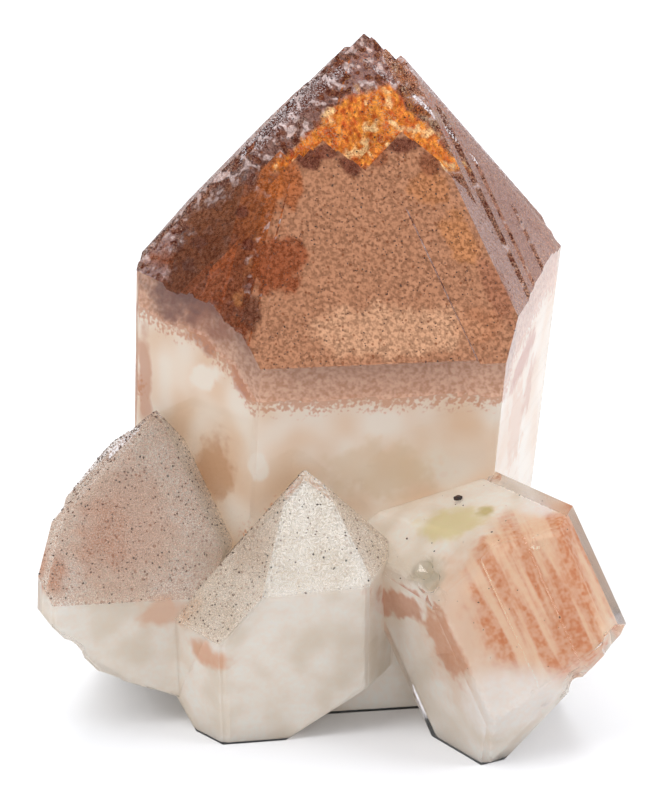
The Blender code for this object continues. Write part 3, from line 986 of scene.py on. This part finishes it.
# %% Patches on the front
# Middle, reach, turn, tint, strength and raggedness of each.
FRONT_PATCHES = (
    ((-11.2, 51.8), (8.4, 5.4), 38, tone(134, 64, 16), 0.95, 1.2),
    ((-14.1, 46.0), (8.2, 6.4), 30, tone(116, 50, 12), 0.95, 1.2),
    ((-6.6, 56.4), (2.8, 3.0), 0, tone(160, 80, 22), 0.9, 1.2),
    ((-10.6, 40.9), (2.2, 4.0), 20, tone(108, 44, 12), 0.95, 1.2),
    ((-10.1, 52.9), (1.0, 0.9), 0, tone(88, 26, 12), 0.9, 0.8),
    ((-9.3, 49.2), (1.0, 0.9), 0, tone(88, 26, 12), 0.9, 0.8),
    ((-14.9, 49.5), (1.2, 0.9), 0, tone(96, 30, 14), 0.8, 1.0),
    ((-16.2, 47.0), (1.0, 0.9), 0, tone(88, 26, 12), 0.8, 0.8),
    ((-16.2, 42.0), (1.0, 0.9), 0, tone(88, 26, 12), 0.8, 0.8),
    ((-9.3, 44.7), (0.9, 1.3), 0, tone(88, 26, 12), 0.8, 0.8),
    ((-10.5, 42.9), (0.8, 1.0), 0, tone(190, 124, 70), 0.5, 2.0),
    ((-5.9, 46.6), (3.8, 4.0), 0, tone(122, 50, 8), 0.92, 1.8),
    ((-8.9, 41.5), (1.4, 2.7), 0, tone(76, 28, 10), 0.9, 1.2),
    ((-10.4, 38.2), (1.4, 1.2), 0, tone(90, 34, 14), 0.9, 1.2),
    ((-4.4, 56.2), (1.4, 3.8), 0, tone(146, 74, 30), 0.85, 1.2),
    ((11.4, 55.5), (2.7, 3.1), 0, tone(168, 100, 44), 0.45, 1.6),
    ((14.5, 50.0), (2.4, 4.0), 15, tone(178, 110, 50), 0.45, 1.6),
    ((7.1, 39.5), (11.6, 3.6), 0, tone(196, 152, 120), 0.6, 1.2),
    ((16.7, 40.1), (3.1, 2.9), 0, tone(160, 100, 66), 0.5, 1.4),
    ((-2.5, 58.9), (2.0, 1.7), 0, tone(78, 24, 14), 0.95, 0.8),
    ((-0.6, 59.7), (1.6, 1.1), 0, tone(92, 36, 22), 0.9, 0.8),
    ((2.1, 58.2), (2.0, 1.1), -38, tone(84, 28, 16), 0.92, 0.8),
    ((7.8, 60.7), (2.7, 1.2), 0, tone(84, 32, 18), 0.95, 0.8),
    ((5.4, 59.3), (1.6, 1.3), 40, tone(120, 62, 34), 0.8, 1.0),
    ((11.2, 58.6), (1.8, 1.6), -45, tone(110, 54, 28), 0.85, 1.0),
    ((18.7, 44.0), (1.6, 4.9), 25, tone(140, 86, 62), 0.8, 1.0))
# Upper edges of the window: slope, and how far up each one is in the middle.
WINDOW_EDGES = ((1.0, 65.2), (0.33, 66.2), (-1.09, 75.6))
WINDOW_FOOT = (0.0570, 0.0586)
WINDOW_EDGE = 0.0012
print(len(FRONT_PATCHES), "patches on the front")

# %% Dust in its places
dust, tree, shader, place = new_material("iron dust")
tint = tree.add("Attribute", attribute_name="tint").outputs["Color"]
cover = tree.add("Attribute", attribute_name="cover").outputs["Fac"]
thin = tree.add("Attribute", attribute_name="thin").outputs["Fac"]
flat, across, up = front_place(tree, place)
uneven = uneven_edge(tree, place)
painted_shade = tree.add("Attribute", attribute_name="painted_shade").outputs["Fac"]
colour, covered = lay_front_patches(tree, flat, uneven, tint, FRONT_PATCHES)
# Painted light and shade: each tip facet's dust colour is scaled by its painted shade factor.
colour = tree.scaled(colour, painted_shade)
cover = tree.math("MAXIMUM", cover, tree.math("MULTIPLY", covered, 0.8))

# %% Window around the tip
ragged = tree.math("MULTIPLY", uneven, 0.0035)
window = 1.0
for slope, level in WINDOW_EDGES:
    window = tree.math("MINIMUM", window, tree.math("MULTIPLY_ADD", across, slope, level * MM))
window = tree.math("SUBTRACT", window, up)
window = tree.fade(tree.math("ADD", window, ragged), 0.0, WINDOW_EDGE)
window = tree.math("MULTIPLY", window, tree.fade(up, *WINDOW_FOOT))
window = tree.math("MULTIPLY", window, thin)
cover = tree.math("MULTIPLY_ADD", window, tree.math("SUBTRACT", 0.62, cover), cover)
streaked = tree.add("Mapping", {"Vector": place, "Scale": ALONG_GROWTH}).outputs["Vector"]
fibres = use_group(tree, mottle_group, {"Place": streaked, "Grain": 1500.0, "Softness": 0.9})["Mask"]
orange = tree.mix(fibres, tone(180, 72, 6), tone(232, 146, 52))
orange = tree.mix(tree.fade(uneven, 0.06, 0.16), orange, tone(240, 196, 140))
colour = tree.mix(window, colour, orange)

# %% Flecks on the rim
flecks = tree.noise(place, 900.0, 1.0, 0.6)
rim = tree.math("MULTIPLY", tree.math("SUBTRACT", 1.0, covered), thin)
rim = tree.math("MULTIPLY", rim, tree.math("SUBTRACT", 1.0, window))
colour = tree.mix(tree.math("MULTIPLY", rim, tree.fade(flecks, 0.54, 0.60)), colour, tone(78, 30, 20))
colour = tree.mix(tree.math("MULTIPLY", rim, tree.fade(flecks, 0.44, 0.36)), colour, tone(186, 166, 164))

# %% Stipple, dots and the gaps between the points of dust
cloud = tree.fade(uneven, -0.14, 0.14)
fine = use_group(tree, mottle_group, {"Place": place, "Grain": 5000.0, "Softness": 0.8})["Mask"]
strong = tree.fade(cover, 0.3, 0.75, 0.15, 1.0)
darker = tree.mix(tree.math("MULTIPLY", strong, 0.62), colour, tone(52, 20, 8))
lighter = tree.scaled(colour, tree.math("MULTIPLY_ADD", strong, 0.75, 1.0))
lighter = tree.mix(tree.math("MULTIPLY", strong, 0.10), lighter, tone(236, 204, 176))
grit = use_group(tree, mottle_group, {"Place": place, "Grain": 2300.0, "Softness": 0.6})["Mask"]
points_of_dust = tree.math("MULTIPLY_ADD", fine, 0.5, tree.math("MULTIPLY", grit, 0.5))
stipple = tree.mix(points_of_dust, darker, lighter)
stipple = tree.mix(tree.math("MULTIPLY", cloud, 0.25), stipple, colour)
dots = use_group(tree, specks_group, {"Place": place, "Grain": 2400.0, "Share": 0.2, "Size": 0.4})["Mask"]
colour = tree.mix(tree.math("MULTIPLY", dots, 0.7), stipple, tone(120, 66, 40))
tree.set(shader.inputs["Base Color"], colour)
holes = tree.fade(fine, 0.15, 0.85, 1.0, -1.0)
room = tree.math("MINIMUM", tree.math("SUBTRACT", 1.0, cover), tree.math("MULTIPLY", cover, 0.8))
holes = tree.math("MULTIPLY", holes, room)
alpha = tree.math("ADD", cover, holes)
dots = tree.math("MULTIPLY", dots, tree.fade(cover, 0.05, 0.25, 0.04, 0.4))
alpha = tree.math("MAXIMUM", alpha, dots)
tree.set(shader.inputs["Alpha"], alpha)
shader.inputs["Roughness"].default_value = 0.6
shader.inputs["Specular IOR Level"].default_value = 0.05
film.data.materials.append(dust)

# %% [markdown]
# ## Dark grains
#
# Grains of iron ore, a tenth to a third of a millimetre across, lie on the dusted faces, most on
# the wide front face. One grain is shaped, a lumpy ball of twenty faces. Copies of it,
# each with its own size and turn, are laid on facets picked by area and joined in one piece.

# %% One grain, and how many each facet draws
def shape_grain():
    """One lumpy grain, one unit in radius."""
    bpy.ops.object.select_all(action="DESELECT")
    bpy.ops.mesh.primitive_ico_sphere_add(subdivisions=1, radius=1.0)
    item = bpy.context.object
    start_editing(item)
    bpy.ops.transform.resize(value=(1.0, 0.8, 0.6))
    bpy.ops.transform.vertex_random(offset=0.25, seed=3)
    stop_editing()
    return item


def grain_weight(face):
    """How many grains a facet draws for its area."""
    if face.normal.z < UPWARD:
        return 0.0
    x, y, z = face.center / MM
    if z > TIP_FOOT:
        number = cap_number(face.normal, MAIN)
        if number != 0:
            return 0.25 if y < 8.0 else 0.05
        return 1.6 if axis_height(face.center, 0, MAIN) > FRONT_STEP else 0.7
    if y > -2.0:
        return 0.1
    if x < -9.0:
        return 1.3
    if x < 6.0:
        return 0.5 if cap_number(face.normal, CENTRE) == 0 else 1.0
    return 0.04


# %% Scattering
SMALLEST_GRAIN = 0.05
GRAIN_SPREAD = 0.12


def scatter(source, surface, count, seed):
    """Join many copies of one grain, laid on a surface by chance."""
    chance = random.Random(seed)
    mesh = surface.data
    mesh.calc_loop_triangles()
    corners = [[mesh.vertices[i].co for i in part.vertices] for part in mesh.loop_triangles]
    weights = [grain_weight(mesh.polygons[part.polygon_index]) * part.area
               for part in mesh.loop_triangles]
    points = np.array([vertex.co for vertex in source.data.vertices])
    faces = np.array([tuple(face.vertices) for face in source.data.polygons])
    all_points, all_faces = [], []
    for number, (a, b, c) in enumerate(chance.choices(corners, weights, k=count)):
        one, two = chance.random(), chance.random()
        if one + two > 1.0:
            one, two = 1.0 - one, 1.0 - two
        spot = a + (b - a) * one + (c - a) * two
        size = SMALLEST_GRAIN + GRAIN_SPREAD * chance.random() ** 2.5
        angle = chance.uniform(0, math.tau)
        turn = Matrix.Rotation(angle, 3, (chance.random(), 1.0, chance.random()))
        all_points.append(points @ np.array(turn).T * size * MM + np.array(spot))
        all_faces.append(faces + number * len(points))
    mesh = bpy.data.meshes.new("dark_grains")
    mesh.from_pydata(np.concatenate(all_points).tolist(), [], np.concatenate(all_faces).tolist())
    item = bpy.data.objects.new("dark_grains", mesh)
    bpy.context.scene.collection.objects.link(item)
    return item


# %% Dark grains and the black grain
GRAIN_COUNT = 5200
GRAIN_SEED = 21
BLACK_GRAIN_PLACE = (14.3, -9.2, 25.3)
BLACK_GRAIN_REACH = (0.62, 0.5, 0.55)

one_grain = shape_grain()
black_grain = copy_mesh(one_grain, "black_grain")
start_editing(black_grain)
bpy.ops.mesh.subdivide(number_cuts=2, smoothness=0.6)
bpy.ops.transform.resize(value=Vector(BLACK_GRAIN_REACH) * MM, center_override=(0.0, 0.0, 0.0))
bpy.ops.transform.vertex_random(offset=0.06 * MM, seed=8)
bpy.ops.transform.translate(value=Vector(BLACK_GRAIN_PLACE) * MM)
stop_editing()
describe(black_grain)
grains = scatter(one_grain, clear, GRAIN_COUNT, GRAIN_SEED)
bpy.data.objects.remove(one_grain, do_unlink=True)
describe(grains)

# %% [markdown]
# ## Iron ore
#
# The grains are nearly black with rusty places, a little glossier than the dust.

# %% Iron ore material
iron, tree, shader, place = new_material("dark iron ore")
spread = tree.fade(tree.noise(place, 900.0, 2.0), 0.4, 0.6)
tree.set(shader.inputs["Base Color"], tree.mix(spread, tone(26, 15, 11), tone(74, 34, 18)))
shader.inputs["Roughness"].default_value = 0.5
grains.data.materials.append(iron)
black_grain.data.materials.append(iron)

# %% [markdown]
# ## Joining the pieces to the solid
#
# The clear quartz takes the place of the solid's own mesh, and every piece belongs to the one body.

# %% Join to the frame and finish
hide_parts("quartz_cluster")
for piece in (clear, phantom, hearts, film, grains, black_grain):
    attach(piece, "root")
